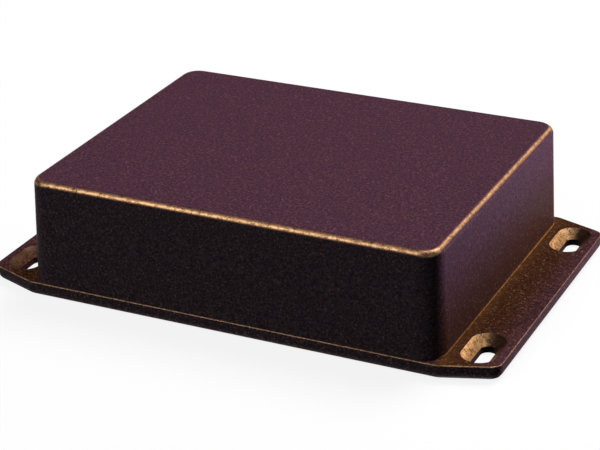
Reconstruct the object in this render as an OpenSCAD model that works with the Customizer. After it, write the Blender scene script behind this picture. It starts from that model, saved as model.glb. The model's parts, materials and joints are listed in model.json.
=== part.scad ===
// Die-cast aluminium box with a flanged lid, in millimetres.
// The body is a deep cup, open downwards, that stands on the lid's face. The lid's tongue
// locates it from inside, and four countersunk screws come up through the lid into its
// corner pillars. The lid reaches past both ends of the body as two mounting flanges, each
// with a pair of countersunk slots.
// Origin: centre of the lid's underside. X runs from flange to flange, Z is up.

/* [Body] */
// Length of the body over its rim
body_l = 119.5; // [90:0.5:220]
// Width of the body over its rim
body_w = 94; // [60:0.5:160]
// Height of the body from its rim to its top
body_h = 29.7; // [20:0.1:60]
// Radius of the upright corners, at the rim
corner_r = 6.5; // [5:0.5:10]
// Radius of the edge round the top
top_edge_r = 2; // [0.5:0.25:3]
// Draft of the outer walls, in degrees
outer_draft = 2.25; // [0.5:0.25:2.5]
// Thickness of the walls, at the rim
wall = 2.2; // [1.6:0.1:2.4]
// Thickness of the top
roof = 2.4; // [1.6:0.1:4]

/* [Inside of the body] */
// Draft of the walls and pillars inside, in degrees
core_draft = 1.5; // [0.5:0.25:2]
// Radius of the upright corners inside, at the rim
pocket_r = 2.5; // [2.4:0.1:2.8]
// Radius of the edge between the walls and the roof, inside
roof_edge_r = 1.5; // [0.5:0.25:2]
// Radius of each corner pillar, at the rim
pillar_r = 4; // [3.5:0.1:5]
// How far the web beside a pillar stands back from the pillar's round
web_step = 0.2; // [0.1:0.05:0.4]
// Radius of each mark that an ejector pin left
ejector_r = 3; // [2:0.25:4]
// How far an ejector mark stands proud of the casting
ejector_h = 0.25; // [0.1:0.05:0.4]
// Distance from the pocket's sides to the outer ejector marks
ejector_inset = 18; // [12:0.5:24]

/* [Lid] */
// Thickness of the lid
lid_t = 4.3; // [3.6:0.1:6]
// How far each flange reaches past the body's end
flange_l = 14.45; // [12:0.05:40]
// How far the lid's long sides stand out past the body
ledge = 0.2; // [0:0.05:1]
// Distance along the flange in which its sides taper
taper_l = 14.8; // [6:0.2:20]
// How much the taper takes off each side of the flange
taper_w = 5.2; // [2:0.1:12]
// Radius of the flange's outer corners
tip_r = 3.5; // [3:0.25:6]
// Radius of the bend where the taper starts
shoulder_r = 5; // [3:0.5:8]
// Draft of the lid's rim, which leans in towards the underside, in degrees
lid_draft = 3; // [1:0.5:5]
// Radius of the lid's upper edge
lid_edge_r = 0.4; // [0.2:0.1:1]
// Radius of the lid's lower edge
lid_foot_r = 2; // [0.5:0.1:2.4]
// Height of the tongue that stands up into the body
tongue_h = 1.8; // [1:0.1:4]
// Thickness of the tongue
tongue_t = 1.6; // [1:0.1:1.7]
// Radius of the tongue's upper edges
tongue_edge_r = 0.4; // [0.2:0.1:0.6]
// Gap between the tongue and the body's walls and pillars
tongue_gap = 0.2; // [0.1:0.05:0.4]

/* [Mounting slots] */
// Distance from a flange's end to the middle of its slots
slot_end_inset = 7.2; // [6:0.1:20]
// Distance from the lid's long sides to the middle of a slot
slot_side_inset = 13.1; // [11:0.1:30]
// Width of a slot
slot_w = 4.4; // [3:0.1:6]
// Length of a slot over its round ends
slot_l = 11.2; // [6.5:0.1:20]
// Width of a slot's 90 degree countersink at the lid's face
slot_sink_w = 9.4; // [6:0.1:10]

/* [Lid screws] */
// Distance from the body's sides to a screw's centre
screw_inset = 5; // [4.8:0.1:7]
// Diameter of a screw's thread
screw_d = 3.5; // [2.5:0.1:4]
// Length of a screw with its head
screw_l = 12.7; // [8:0.1:18]
// Diameter of a screw's 90 degree countersunk head
screw_head_d = 6.9; // [5:0.1:7]
// How deep a head sits below the lid's underside
screw_sink = 0.15; // [0:0.05:0.4]
// Gap round a screw's thread, in the lid and in the pillar
screw_gap = 0.05; // [0.02:0.01:0.3]
// Depth of a pillar's hole past the screw's tip
hole_spare = 3; // [1:0.5:5]
// Width of each arm of the cross recess in a head
recess_w = 0.9; // [0.6:0.1:1.2]
// Span of the cross recess at the head's face
recess_d = 4; // [3:0.1:4.5]
// Depth of the cross recess
recess_h = 1.6; // [1:0.1:1.7]
// Length of the chamfer at a screw's tip
screw_tip = 0.6; // [0.3:0.1:1]
// Slope of the cone at the end of a tapped hole, in degrees
drill_cone = 31; // [20:1:45]

/* [Hidden] */

$fn = 64;
coat = "#2b1a1d";
steel = "#b9bcc0";

// Cuts reach this far past the faces that they open.
over = 1;

// Rounds of a casting stand this far off a true tangent, so that each arc crosses the
// straight side that it meets.
crossing = 0.004;

// Steps in a right angle, on the lid's rounded edges and corners.
edge_steps = 4;
corner_steps = 12;

pocket_h = body_h - roof;

// Half the lid's length and width, over both flanges and over the ledges.
lid_reach = [body_l / 2 + flange_l, body_w / 2 + ledge];

// The lid's outline in one quarter, before its corners are rounded. Each corner has its
// place, the outward directions of the sides before and after it, and its radius.
taper_turn = atan2(taper_l, taper_w);
quarter_corners = [
    [[lid_reach.x, lid_reach.y - taper_w], 0, taper_turn, tip_r],
    [[lid_reach.x - taper_l, lid_reach.y], taper_turn, 90, shoulder_r]
];

// How far the round of the lid's lower edge has its centre inside the outline, so that it
// meets the leaning rim without a step.
foot_inset = lid_edge_r + (lid_t - lid_edge_r - lid_foot_r) * tan(lid_draft)
    + (lid_foot_r - lid_edge_r) / cos(lid_draft);

// Centre of the screw at the back right: X is to the right, Y to the back.
screw_at = [body_l / 2 - screw_inset, body_w / 2 - screw_inset];
screw_r = screw_d / 2;
screw_hole_r = screw_r + screw_gap;
head_r = screw_head_d / 2;
// A 90 degree cone widens as fast as it deepens, so a sunk head opens its seat by as much.
head_seat_r = head_r + screw_sink;

// Centre of the slot at the back right, and half the distance between the centres of a
// slot's round ends.
slot_at = [lid_reach.x - slot_end_inset, lid_reach.y - slot_side_inset];
slot_reach = (slot_l - slot_w) / 2;

// A round for a block's upper edge, no larger than its corners leave room for at the top.
function upper_round(r, h, draft, wanted) = min(wanted, 0.9 * (r - h * tan(draft)));

// One side of a casting, drawn from a corner's centre outwards: a wall that leans in by
// the draft, and a rounded upper edge.
module side_profile(r, h, draft, edge_r) {
    centre = [r - (h - edge_r) * tan(draft) - edge_r / cos(draft), h - edge_r];
    polygon([
        [0, 0],
        [r, 0],
        centre + edge_r * [cos(draft), sin(draft)],
        [centre.x, h],
        [0, h]
    ]);
    intersection() {
        translate([centre.x + crossing, centre.y + crossing]) circle(edge_r);
        square([r, h]);
    }
}

// A drafted block with round upright corners. Its one side profile runs straight along
// each side and turns about each corner's centre.
module cast_block(size, r, h, draft, edge_r) {
    core = [size.x / 2 - r, size.y / 2 - r];
    translate([-core.x, -core.y, 0]) cube([2 * core.x, 2 * core.y, h]);
    for (quarter = [0 : 3]) {
        reach = quarter % 2 == 0 ? core : [core.y, core.x];
        rotate([0, 0, 90 * quarter]) translate([reach.x, reach.y, 0]) {
            rotate([90, 0, 0]) linear_extrude(2 * reach.y) side_profile(r, h, draft, edge_r);
            rotate_extrude(angle = 90) side_profile(r, h, draft, edge_r);
        }
    }
}

// Repeats its children at a place in each quarter, turned so that one side faces inwards.
module in_quarters(place) {
    for (x = [0, 1], y = [0, 1])
        mirror([x, 0, 0]) mirror([0, y, 0]) translate([place.x, place.y, 0]) children();
}

// A pillar round a screw's axis. It widens towards the roof and flares into it.
module pillar(r, h, edge_r) {
    centre = [r + (h - edge_r) * tan(core_draft) + edge_r / cos(core_draft), h - edge_r];
    rotate_extrude() difference() {
        polygon([
            [0, 0],
            [r, 0],
            centre + edge_r * [-cos(core_draft), sin(core_draft)],
            [centre.x, h],
            [0, h]
        ]);
        translate([centre.x - crossing, centre.y + crossing]) circle(edge_r);
    }
}

// The space inside the body, with the corner pillars left standing. A gap takes the same
// amount off every wall, which is how the lid's tongue follows the body.
module pocket(gap, h, wanted_r) {
    corner = pocket_r - gap;
    edge_r = upper_round(corner, h, core_draft, wanted_r);
    web = pillar_r - web_step + gap;
    half = [body_l / 2 - wall - gap, body_w / 2 - wall - gap];
    between = [screw_at.x - web, screw_at.y - web];
    round_room = pillar_r + gap + h * tan(core_draft) + 2 * edge_r;
    difference() {
        union() {
            cast_block([2 * half.x, 2 * between.y], corner, h, core_draft, edge_r);
            cast_block([2 * between.x, 2 * half.y], corner, h, core_draft, edge_r);
            in_quarters(screw_at) translate([-round_room, -round_room, 0])
                cube([round_room, round_room, h]);
        }
        in_quarters(screw_at) pillar(pillar_r + gap, h, edge_r);
    }
}

// Marks of the ejector pins, in rows inside the pocket's outline.
module ejector_marks(columns) {
    reach = [body_l / 2 - wall - ejector_inset, body_w / 2 - wall - ejector_inset];
    for (x = columns, y = [-1, 1])
        translate([x * reach.x, y * reach.y, -over]) cylinder(r = ejector_r, h = ejector_h + over);
}

// A tapped hole up a pillar, with the cone that the drill leaves.
module pillar_hole() {
    depth = screw_l - lid_t + hole_spare;
    translate([0, 0, -over]) cylinder(r = screw_hole_r, h = depth + over);
    translate([0, 0, depth]) cylinder(r1 = screw_hole_r, r2 = 0, h = screw_hole_r * tan(drill_cone));
}

module body() {
    top_round = upper_round(corner_r, body_h, outer_draft, top_edge_r);
    color(coat) translate([0, 0, lid_t]) difference() {
        cast_block([body_l, body_w], corner_r, body_h, outer_draft, top_round);
        difference() {
            pocket(0, pocket_h, roof_edge_r);
            translate([0, 0, pocket_h]) mirror([0, 0, 1]) ejector_marks([-1, 0, 1]);
        }
        in_quarters(screw_at) pillar_hole();
    }
}

// Centre of the arc that rounds a corner between sides that face the directions a and b.
function arc_centre(place, a, b, r) =
    let (u = [cos(a), sin(a)], v = [cos(b), sin(b)])
    place - r * (u + v) / (1 + u * v);

// The lid's outline moved in by an inset: one quarter, and then the whole ring.
function quarter_outline(inset) = [
    for (corner = quarter_corners)
        let (
            a = corner[1],
            turn = corner[2] - a,
            r = corner[3],
            centre = arc_centre(corner[0], a, corner[2], r),
            steps = ceil(turn / 90 * corner_steps)
        )
        for (step = [0 : steps])
            let (at = a + turn * step / steps)
            centre + (r - inset) * [cos(at), sin(at)]
];
function mirrored(points, x, y) = [
    for (i = [len(points) - 1 : -1 : 0]) [x * points[i].x, y * points[i].y]
];
function outline(inset) =
    let (quarter = quarter_outline(inset))
    concat(quarter, mirrored(quarter, -1, 1), -quarter, mirrored(quarter, 1, -1));

// How far in and how high each ring of the plate lies, up its rounded lower edge, its
// leaning rim and its rounded upper edge. The angle is the slope of the surface's normal.
plate_levels = concat(
    [for (step = [0 : edge_steps]) let (a = (90 - lid_draft) * step / edge_steps - 90)
        [foot_inset - lid_foot_r * cos(a), lid_foot_r * (1 + sin(a))]],
    [for (step = [0 : edge_steps]) let (a = (90 + lid_draft) * step / edge_steps - lid_draft)
        [lid_edge_r * (1 - cos(a)), lid_t - lid_edge_r * (1 - sin(a))]]
);

// The lid's plate with both flanges: rings of its outline, one above the other.
module plate() {
    rings = [for (level = plate_levels) [for (p = outline(level.x)) [p.x, p.y, level.y]]];
    n = len(rings[0]);
    top = len(rings) - 1;
    polyhedron(
        points = [for (ring = rings, p = ring) p],
        faces = concat(
            [[for (i = [0 : n - 1]) i]],
            [[for (i = [n - 1 : -1 : 0]) top * n + i]],
            [for (k = [0 : top - 1], i = [0 : n - 1])
                let (j = (i + 1) % n)
                [k * n + i, (k + 1) * n + i, (k + 1) * n + j, k * n + j]]
        )
    );
}

// The rib on the lid's face that stands inside the body, all round its walls and pillars.
module tongue() {
    difference() {
        pocket(tongue_gap, tongue_h, tongue_edge_r);
        pocket(tongue_gap + tongue_t, tongue_h + over, tongue_edge_r);
    }
}

// Half the section of a slot's cut: its straight part and its 90 degree countersink.
module slot_section() {
    r = slot_w / 2;
    top_r = slot_sink_w / 2 + over;
    polygon([
        [0, -over],
        [r, -over],
        [r, lid_t + over - (top_r - r)],
        [top_r, lid_t + over],
        [0, lid_t + over]
    ]);
}

// A countersunk slot, long in Y: its section runs straight between two half turns.
module slot() {
    for (end = [0, 180]) rotate([0, 0, end]) {
        translate([0, slot_reach, 0]) rotate_extrude(angle = 180) slot_section();
        translate([0, slot_reach, 0]) rotate([90, 0, 0]) linear_extrude(2 * slot_reach) slot_section();
    }
}

// A lid screw's clearance hole, with the seat for its head in the lid's underside.
module screw_seat() {
    translate([0, 0, -over]) {
        cylinder(r = screw_hole_r, h = lid_t + 2 * over);
        cylinder(
            r1 = head_seat_r + over,
            r2 = screw_hole_r,
            h = head_seat_r + over - screw_hole_r
        );
    }
}

module flanged_lid() {
    color(coat) difference() {
        union() {
            plate();
            translate([0, 0, lid_t]) tongue();
            translate([0, 0, lid_t]) ejector_marks([-1, 1]);
        }
        in_quarters(slot_at) slot();
        in_quarters(screw_at) screw_seat();
    }
}

// A countersunk machine screw with a cross recess. Its head faces down and its tip up.
module lid_screw(x, y) {
    color(steel) translate([x * screw_at.x, y * screw_at.y, screw_sink]) difference() {
        union() {
            cylinder(r1 = head_r, r2 = screw_r, h = head_r - screw_r);
            cylinder(r = screw_r, h = screw_l - screw_tip);
            translate([0, 0, screw_l - screw_tip])
                cylinder(r1 = screw_r, r2 = screw_r - screw_tip, h = screw_tip);
        }
        intersection() {
            cylinder(r1 = recess_d / 2, r2 = recess_w / 2, h = recess_h);
            union() {
                cube([recess_d, recess_w, 2 * recess_h], center = true);
                cube([recess_w, recess_d, 2 * recess_h], center = true);
            }
        }
    }
}

module lid_screw_front_left() { lid_screw(-1, -1); }
module lid_screw_front_right() { lid_screw(1, -1); }
module lid_screw_back_left() { lid_screw(-1, 1); }
module lid_screw_back_right() { lid_screw(1, 1); }

body();
flanged_lid();
lid_screw_front_left();
lid_screw_front_right();
lid_screw_back_left();
lid_screw_back_right();
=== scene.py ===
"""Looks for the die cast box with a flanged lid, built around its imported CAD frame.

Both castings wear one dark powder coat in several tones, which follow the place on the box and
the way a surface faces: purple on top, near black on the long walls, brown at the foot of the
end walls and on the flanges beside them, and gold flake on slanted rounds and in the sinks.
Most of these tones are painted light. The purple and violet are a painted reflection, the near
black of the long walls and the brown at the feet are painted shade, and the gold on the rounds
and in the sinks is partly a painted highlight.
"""

import json
import math
from collections import namedtuple

import bpy
from mathutils import Matrix, Vector


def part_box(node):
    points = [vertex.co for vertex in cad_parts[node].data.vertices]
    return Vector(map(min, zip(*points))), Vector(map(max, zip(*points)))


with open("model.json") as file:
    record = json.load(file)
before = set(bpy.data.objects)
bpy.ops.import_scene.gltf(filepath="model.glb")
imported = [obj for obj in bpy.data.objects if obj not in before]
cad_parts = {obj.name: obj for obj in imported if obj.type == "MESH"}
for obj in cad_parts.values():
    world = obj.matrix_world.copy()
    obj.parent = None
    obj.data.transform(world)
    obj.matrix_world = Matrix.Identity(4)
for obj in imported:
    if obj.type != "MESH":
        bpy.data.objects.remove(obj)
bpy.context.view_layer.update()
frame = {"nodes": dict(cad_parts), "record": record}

MM = 0.001
BODY_LOW, BODY_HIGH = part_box("body")
FOOT = BODY_LOW.z   # height at which the body stands on the lid
TOP = BODY_HIGH.z   # height of the body's top
END = BODY_HIGH.x   # distance from the middle to an end wall's foot
SLOTS = max(mount["pos_m"][0] for mount in frame["record"]["mounts"])   # the same to a slot row

# Linear colours. Each tone of the coat is a pair, the darker and the lighter of its mottle.
# Painted reflection and shade: PURPLE and VIOLET paint a reflection of the pale floor, and the brown
# tones stand where the box blocks that reflection.
BROWN = ((0.026, 0.0085, 0.0034), (0.066, 0.0220, 0.0092))
FOOT_BROWN = ((0.020, 0.0060, 0.0010), (0.050, 0.0156, 0.0030))
PURPLE = ((0.040, 0.0155, 0.0255), (0.094, 0.0375, 0.0610))
VIOLET = ((0.050, 0.0198, 0.0390), (0.116, 0.0480, 0.0930))
# BLACK is painted shade, for the long walls, which stand in shade.
BLACK = ((0.022, 0.0155, 0.0190), (0.058, 0.0400, 0.0500))
# The pale flake at the middle of a round stands in for a highlight's core, a painted highlight.
FLAKE_ORANGE = (0.85, 0.36, 0.09)
FLAKE_PALE = (0.90, 0.56, 0.29)
SPECK = (0.75, 0.40, 0.26)
STEEL = ((0.48, 0.48, 0.49), (0.62, 0.62, 0.63))
SHEEN_TINT = (1.0, 0.42, 0.80, 1.0)
SPECULAR_TINT = (1.0, 0.75, 0.60, 1.0)
WHITE = (1.0, 1.0, 1.0, 1.0)

# Heights on the body at which a painted reflection starts and is full: purple over brown, and violet
# over both.
# A painted highlight lines the foot of the end walls, up to the last pair.
PURPLE_RISE = (FOOT + 2.2 * MM, TOP - 5 * MM)
VIOLET_RISE = (TOP - 15 * MM, TOP)
FOOT_HIGHLIGHT_HEIGHTS = (FOOT + 0.1 * MM, FOOT + 0.9 * MM)

# Places on the lid, as distances from the middle: brown starts under the body's end and fades out
# along the flange, as painted shade where the body blocks the purple painted reflection. A little
# gold, a painted glow from the end wall, lies along the wall's foot, and more, a painted highlight,
# lies in the slots' sinks.
BROWN_RISE = (END - 3.75 * MM, END + 0.25 * MM)
BROWN_FALL = (END + 5.25 * MM, END + 20.25 * MM)
WALL_LINE = (END - 0.25 * MM, END + 0.25 * MM)
WALL_LINE_FADE = 3.5 * MM
SINKS = (SLOTS - 6 * MM, SLOTS + 5.5 * MM)
SINK_FADE = 0.6 * MM

# Parts of a surface's normal, towards an end, a side, the sky or outwards, at which a tone starts
# and is full.
END_WALL_VIOLET = (0.6, 0.95)
END_WALL_FOOT_HIGHLIGHT = (0.7, 0.95)
# Painted shade: the long walls turn near black as they face sideways.
LONG_WALL_SHADE = (0.2, 0.7)
FLANGE_TOP = (0.2, 0.8)
SINK_OUTWARD = (-0.2, 0.5)

# Slanted surfaces: how far they may lean down and up, and how that moves with their direction.
SLANT_FROM_UPRIGHT = (0.32, 0.64)
SLANT_FROM_LEVEL = (0.02, 0.24)
# These shifts move the gold to where highlights fall on the rounds, a painted highlight.
SIDE_SHIFT, END_SHIFT, CORNER_SHIFT, END_WIDENING = 0.08, -0.22, 0.55, 0.12

# Shares of gold: on the body's slants, on the lid's, less in a sink that faces in, and flat.
BODY_SLANT_GOLD = 0.70
LID_SLANT_GOLD = 0.34
SINK_SHADE = 0.2
LEAST_SLANT_GOLD = 0.02
# Painted highlight at the foot of the end walls, and a painted glow along it on the flange.
FOOT_HIGHLIGHT_GOLD = 0.6
WALL_LINE_GOLD = 0.035

# Grains of the surfaces, in cells per metre, and the shares of a grain that count.
COAT_GRAIN = 2600.0
COAT_MOTTLE = 1500.0
COAT_SPECKS = 2800.0
COAT_WEAR = 700.0
STEEL_GRAIN = 1800.0
MOTTLE_RANGE = (0.3, 0.7)
SPECKED_CELLS = (0.88, 0.98)
BROAD_WEAR, FINE_WEAR = 0.5, 0.6
WEAR_RANGE = (0.25, 0.70)

# Gloss. The low index keeps the dark walls from mirroring a pale floor.
COAT_ROUGHNESS = 0.48
COAT_IOR = 1.06
SHEEN_ROUGHNESS = 0.35
STEEL_ROUGHNESS = 0.32
COAT_BUMP, COAT_BUMP_DEPTH = 0.5, 0.03 * MM
STEEL_BUMP, STEEL_BUMP_DEPTH = 0.1, 0.01 * MM

# Floor and world, both white to the eye and dim to the object. Lengths are in metres.
FLOOR_SIZE = 20.0
FLOOR_GAP = 0.1 * MM
FLOOR_SEEN = 0.96
FLOOR_BOUNCE = 0.03
FLOOR_GLOW = 0.85
WORLD_LIGHT = 0.015

# Lamps stand this far from the box, but for the low one beyond its right end.
LAMP_DISTANCE = 1.2

# Camera: its angles in degrees, its distance and target in metres, its lens and sensor in mm.
CAMERA_AZIMUTH, CAMERA_ELEVATION, CAMERA_ROLL = 26.1031, 25.1844, -1.4598
CAMERA_DISTANCE = 0.536265
CAMERA_TARGET = (0.003010, -0.006886, 0.015)
CAMERA_LENS = 117.6194
CAMERA_SENSOR = 36.0

# What a casting's place and direction do to its coat: the share of purple, a painted reflection,
# over brown, the share of violet over both, the painted highlight and glow on flat parts, and how
# much gold shows on slanted ones.
Tone = namedtuple("Tone", "purple violet flat_gold slant_gold")


# ---------------------------------------------------------------- node helpers

def new_material(name):
    """An empty node material, and its tree."""
    material = bpy.data.materials.new(name)
    material.use_nodes = True
    tree = material.node_tree
    tree.nodes.clear()
    return material, tree


def fill(tree, socket, value):
    """Links a socket to another, or sets its constant."""
    if isinstance(value, bpy.types.NodeSocket):
        tree.links.new(value, socket)
    else:
        socket.default_value = value


def node(tree, kind, inputs=None, **settings):
    """Adds a node, sets its properties, and fills its inputs."""
    made = tree.nodes.new(kind)
    for key, value in settings.items():
        setattr(made, key, value)
    for key, value in (inputs or {}).items():
        fill(tree, made.inputs[key], value)
    return made


def math_node(tree, operation, a, b=0.0, c=0.0):
    return node(tree, "ShaderNodeMath", {0: a, 1: b, 2: c}, operation=operation).outputs[0]


def absolute(tree, value):
    return math_node(tree, "ABSOLUTE", value)


def one_minus(tree, value):
    return math_node(tree, "SUBTRACT", 1.0, value)


def times(tree, first, *others):
    """The product of all the values."""
    for other in others:
        first = math_node(tree, "MULTIPLY", first, other)
    return first


def scaled_plus(tree, value, factor, rest):
    """value * factor + rest"""
    return math_node(tree, "MULTIPLY_ADD", value, factor, rest)


def smooth_step(tree, value, low, high):
    """0 up to low, 1 from high, and smooth between."""
    inputs = {"Value": value, "From Min": low, "From Max": high, "To Min": 0.0, "To Max": 1.0}
    return node(tree, "ShaderNodeMapRange", inputs, interpolation_type="SMOOTHSTEP").outputs["Result"]


def band(tree, value, low, high, soft):
    """1 between low and high, fading to 0 over a length on either side."""
    rise = smooth_step(tree, value, low - soft, low)
    return times(tree, rise, one_minus(tree, smooth_step(tree, value, high, high + soft)))


def mix_colour(tree, share, a, b):
    """Colour a, with a share of colour b."""
    made = node(tree, "ShaderNodeMix", data_type="RGBA")
    factor, colour_a, colour_b = (made.inputs[k] for k in (0, 6, 7))
    fill(tree, factor, share)
    for socket, colour in ((colour_a, a), (colour_b, b)):
        fill(tree, socket, (*colour, 1.0) if isinstance(colour, tuple) else colour)
    return made.outputs[2]


def parts_of(tree, vector):
    """The X, Y and Z of a vector."""
    return node(tree, "ShaderNodeSeparateXYZ", {0: vector}).outputs


def noise(tree, place, scale, detail):
    inputs = {"Vector": place, "Scale": scale, "Detail": detail}
    return node(tree, "ShaderNodeTexNoise", inputs).outputs["Fac"]


def bump(tree, height, strength, depth):
    inputs = {"Height": height, "Strength": strength, "Distance": depth}
    return node(tree, "ShaderNodeBump", inputs).outputs[0]


def output(tree, shader):
    node(tree, "ShaderNodeOutputMaterial", {"Surface": shader.outputs[0]})


# ---------------------------------------------------------------- the coat's tones

def body_tone(tree, place, face, worn):
    """Painted reflection and shade: purple rises over brown with height, violet tops the end walls, and
    a painted highlight lines their foot.
    """
    height = place["Z"]
    end_wall = absolute(tree, face["X"])
    violet = times(
        tree,
        smooth_step(tree, height, *VIOLET_RISE),
        smooth_step(tree, end_wall, *END_WALL_VIOLET),
    )
    # Painted highlight: a gold line along the foot of the end walls.
    foot_highlight = times(
        tree,
        one_minus(tree, smooth_step(tree, height, *FOOT_HIGHLIGHT_HEIGHTS)),
        smooth_step(tree, end_wall, *END_WALL_FOOT_HIGHLIGHT),
        worn,
        FOOT_HIGHLIGHT_GOLD,
    )
    return Tone(smooth_step(tree, height, *PURPLE_RISE), violet, foot_highlight, BODY_SLANT_GOLD)


def lid_tone(tree, place, face, worn):
    """Brown painted shade on the flange tops beside the end walls, and a painted highlight where a
    slot's sink faces outwards.
    """
    out = absolute(tree, place["X"])
    outward = times(tree, face["X"], math_node(tree, "SIGN", place["X"]))
    level = smooth_step(tree, face["Z"], *FLANGE_TOP)
    # Painted shade: brown where the body blocks the purple painted reflection on the flange tops.
    brown = times(
        tree,
        one_minus(tree, smooth_step(tree, out, *BROWN_FALL)),
        smooth_step(tree, out, *BROWN_RISE),
        level,
    )
    # Painted light: a gold glow on the flange along the foot of the end wall.
    wall_line = times(tree, band(tree, out, *WALL_LINE, WALL_LINE_FADE), level, WALL_LINE_GOLD)
    # Painted highlight on a sink's flank that faces outwards, and painted shade on one that faces in.
    sink = band(tree, out, *SINKS, SINK_FADE)
    facing_out = math_node(tree, "SUBTRACT", smooth_step(tree, outward, *SINK_OUTWARD), SINK_SHADE)
    slant_gold = scaled_plus(tree, sink, facing_out, LID_SLANT_GOLD)
    slant_gold = math_node(tree, "MAXIMUM", slant_gold, LEAST_SLANT_GOLD)
    return Tone(one_minus(tree, brown), 0.0, wall_line, slant_gold)


def slanted(tree, face):
    """1 on surfaces that lean between upright and level, such as rounds and sinks.

    It reaches lower at the corners and on the long sides' rounds, and higher on the ends'.
    """
    up = face["Z"]
    to_end = absolute(tree, face["X"])
    to_side = absolute(tree, face["Y"])
    lift = scaled_plus(tree, to_side, SIDE_SHIFT, scaled_plus(tree, to_end, END_SHIFT, up))
    lift = scaled_plus(tree, times(tree, to_end, to_side), CORNER_SHIFT, lift)
    tilt = math_node(tree, "SUBTRACT", scaled_plus(tree, to_end, END_WIDENING, 1.0), up)
    return times(
        tree,
        smooth_step(tree, lift, *SLANT_FROM_UPRIGHT),
        smooth_step(tree, tilt, *SLANT_FROM_LEVEL),
    )


# ---------------------------------------------------------------- materials

def coat_material(name, tone_of, brown, speck_gold, sheen):
    """Dark powder coat with fine gold flake, which shows most on slanted surfaces, shaped there as a
    painted highlight.
    """
    material, tree = new_material(name)
    place = node(tree, "ShaderNodeTexCoord").outputs["Object"]
    face = parts_of(tree, node(tree, "ShaderNodeNewGeometry").outputs["Normal"])
    grain = noise(tree, place, COAT_GRAIN, 2.0)
    mottle = smooth_step(tree, noise(tree, place, COAT_MOTTLE, 3.0), *MOTTLE_RANGE)
    cells = node(tree, "ShaderNodeTexVoronoi", {"Vector": place, "Scale": COAT_SPECKS})
    picked = smooth_step(tree, parts_of(tree, cells.outputs["Color"])["X"], *SPECKED_CELLS)
    broad = noise(tree, place, COAT_WEAR, 1.0)
    wear = scaled_plus(tree, broad, BROAD_WEAR, times(tree, grain, FINE_WEAR))
    worn = smooth_step(tree, wear, *WEAR_RANGE)
    slant = slanted(tree, face)
    # Painted highlight: metallic gold on slanted rounds, grained by random wear, with its pale middle
    # standing in for a highlight's core.
    highlight_flake = times(tree, slant, worn)
    tone = tone_of(tree, parts_of(tree, place), face, worn)

    def mottled(pair):
        return mix_colour(tree, mottle, *pair)

    # Painted reflection: purple and violet laid over the brown, by height and by the way a surface
    # faces.
    colour = mix_colour(tree, tone.purple, mottled(brown), mottled(PURPLE))
    colour = mix_colour(tree, tone.violet, colour, mottled(VIOLET))
    # Painted shade: walls that face sideways take the near black tone.
    long_wall_shade = smooth_step(tree, absolute(tree, face["Y"]), *LONG_WALL_SHADE)
    colour = mix_colour(tree, long_wall_shade, colour, mottled(BLACK))
    colour = mix_colour(tree, times(tree, picked, speck_gold), colour, SPECK)
    gold = math_node(tree, "MAXIMUM", times(tree, highlight_flake, tone.slant_gold), tone.flat_gold)
    colour = mix_colour(tree, gold, colour, mix_colour(tree, highlight_flake, FLAKE_ORANGE, FLAKE_PALE))
    output(tree, node(tree, "ShaderNodeBsdfPrincipled", {
        "Base Color": colour,
        "Metallic": slant,
        "Roughness": COAT_ROUGHNESS,
        "IOR": COAT_IOR,
        "Specular Tint": SPECULAR_TINT,
        "Sheen Weight": sheen,
        "Sheen Roughness": SHEEN_ROUGHNESS,
        "Sheen Tint": SHEEN_TINT,
        "Normal": bump(tree, grain, COAT_BUMP, COAT_BUMP_DEPTH),
    }))
    return material


def steel_material():
    """Plain stainless steel with a fine grain."""
    material, tree = new_material("screw_steel")
    place = node(tree, "ShaderNodeTexCoord").outputs["Object"]
    grain = noise(tree, place, STEEL_GRAIN, 3.0)
    output(tree, node(tree, "ShaderNodeBsdfPrincipled", {
        "Base Color": mix_colour(tree, grain, *STEEL),
        "Metallic": 1.0,
        "Roughness": STEEL_ROUGHNESS,
        "Normal": bump(tree, grain, STEEL_BUMP, STEEL_BUMP_DEPTH),
    }))
    return material


def floor_material():
    """Pale floor: white to the eye and in reflections, dim to the light it bounces, open from below."""
    material, tree = new_material("pale_floor")
    path = node(tree, "ShaderNodeLightPath").outputs
    seen = math_node(tree, "MAXIMUM", path["Is Camera Ray"], path["Is Glossy Ray"])
    seen = math_node(tree, "MAXIMUM", seen, path["Is Transmission Ray"])
    colour = mix_colour(tree, seen, (FLOOR_BOUNCE,) * 3, (FLOOR_SEEN,) * 3)
    lit = node(tree, "ShaderNodeBsdfDiffuse", {"Color": colour})
    glow = node(tree, "ShaderNodeEmission", {"Color": WHITE, "Strength": 1.0})
    share = times(tree, seen, FLOOR_GLOW)
    above = node(tree, "ShaderNodeMixShader", {0: share, 1: lit.outputs[0], 2: glow.outputs[0]})
    below = node(tree, "ShaderNodeBsdfTransparent")
    behind = node(tree, "ShaderNodeNewGeometry").outputs["Backfacing"]
    sides = {0: behind, 1: above.outputs[0], 2: below.outputs[0]}
    output(tree, node(tree, "ShaderNodeMixShader", sides))
    return material


def coat_the_pieces():
    """Gives each casting its coat, and every other node, a lid screw, its steel."""
    finishes = {
        "body": coat_material("coat", body_tone, FOOT_BROWN, speck_gold=0.10, sheen=0.06),
        "flanged_lid": coat_material("lid_coat", lid_tone, BROWN, speck_gold=0.17, sheen=0.02),
    }
    steel = steel_material()
    for name, part in frame["nodes"].items():
        part.data.materials[0] = finishes.get(name, steel)


# ---------------------------------------------------------------- stage

def make_floor():
    """A wide floor just under the lid. It takes shadows and casts none on the lid from below."""
    bpy.ops.mesh.primitive_plane_add(size=FLOOR_SIZE, location=(0.0, 0.0, -FLOOR_GAP))
    floor = bpy.context.object
    floor.name = "floor"
    floor.data.materials.append(floor_material())
    floor.visible_shadow = False


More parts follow.
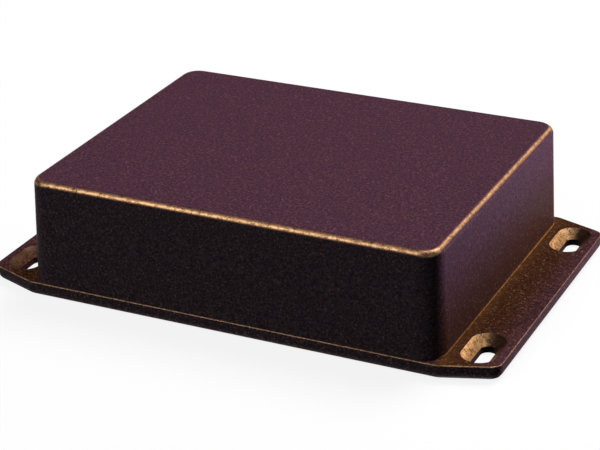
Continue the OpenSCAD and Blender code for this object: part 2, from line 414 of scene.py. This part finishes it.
def make_world():
    """A world that hardly lights the object and is white to the eye, which sees it from below."""
    world = bpy.data.worlds.new("studio")
    world.use_nodes = True
    tree = world.node_tree
    seen = node(tree, "ShaderNodeLightPath").outputs["Is Camera Ray"]
    background = tree.nodes["Background"]
    fill(tree, background.inputs["Color"], WHITE)
    fill(tree, background.inputs["Strength"], math_node(tree, "MAXIMUM", seen, WORLD_LIGHT))
    bpy.context.scene.world = world


def softbox(name, direction, size, radiance, distance=LAMP_DISTANCE):
    """A square area lamp that faces the object. Its power follows from its brightness."""
    lamp = bpy.data.lights.new(name, "AREA")
    lamp.shape = "SQUARE"
    lamp.size = size
    lamp.energy = radiance * math.pi * size * size
    holder = bpy.data.objects.new(name, lamp)
    direction = Vector(direction).normalized()
    holder.location = direction * distance
    holder.rotation_euler = direction.to_track_quat("Z", "Y").to_euler()
    holder.visible_camera = False
    bpy.context.scene.collection.objects.link(holder)


def make_lamps():
    """Soft light from above, front and back, a low lamp beyond the right end, and one from below."""
    softbox("overhead", (0.18, 0.42, 0.90), size=0.6, radiance=11.0)
    softbox("key", (-0.40, -0.62, 0.68), size=0.24, radiance=26.0)
    softbox("back", (0.20, 0.81, 0.64), size=0.7, radiance=1.4)
    softbox("side", (0.81, 0.58, 0.06), size=0.05, radiance=38.0, distance=0.245)
    softbox("underside", (0.0, 0.0, -1.0), size=0.1, radiance=300.0)


def make_camera():
    """A long lens from the front right, a little above the box and hardly rolled."""
    azimuth, elevation, roll = map(math.radians, (CAMERA_AZIMUTH, CAMERA_ELEVATION, CAMERA_ROLL))
    back = Vector((
        math.sin(azimuth) * math.cos(elevation),
        -math.cos(azimuth) * math.cos(elevation),
        math.sin(elevation),
    ))
    level_right = Vector((math.cos(azimuth), math.sin(azimuth), 0.0))
    level_up = back.cross(level_right)
    right = level_right * math.cos(roll) + level_up * math.sin(roll)
    up = back.cross(right)
    data = bpy.data.cameras.new("camera")
    data.sensor_width = CAMERA_SENSOR
    data.lens = CAMERA_LENS
    camera = bpy.data.objects.new("camera", data)
    turn = Matrix((right, up, back)).transposed().to_4x4()
    camera.matrix_world = Matrix.Translation(Vector(CAMERA_TARGET) + back * CAMERA_DISTANCE) @ turn
    bpy.context.scene.collection.objects.link(camera)
    bpy.context.scene.camera = camera


coat_the_pieces()
make_floor()
make_world()
make_lamps()
make_camera()
bpy.context.scene.view_settings.view_transform = "Standard"
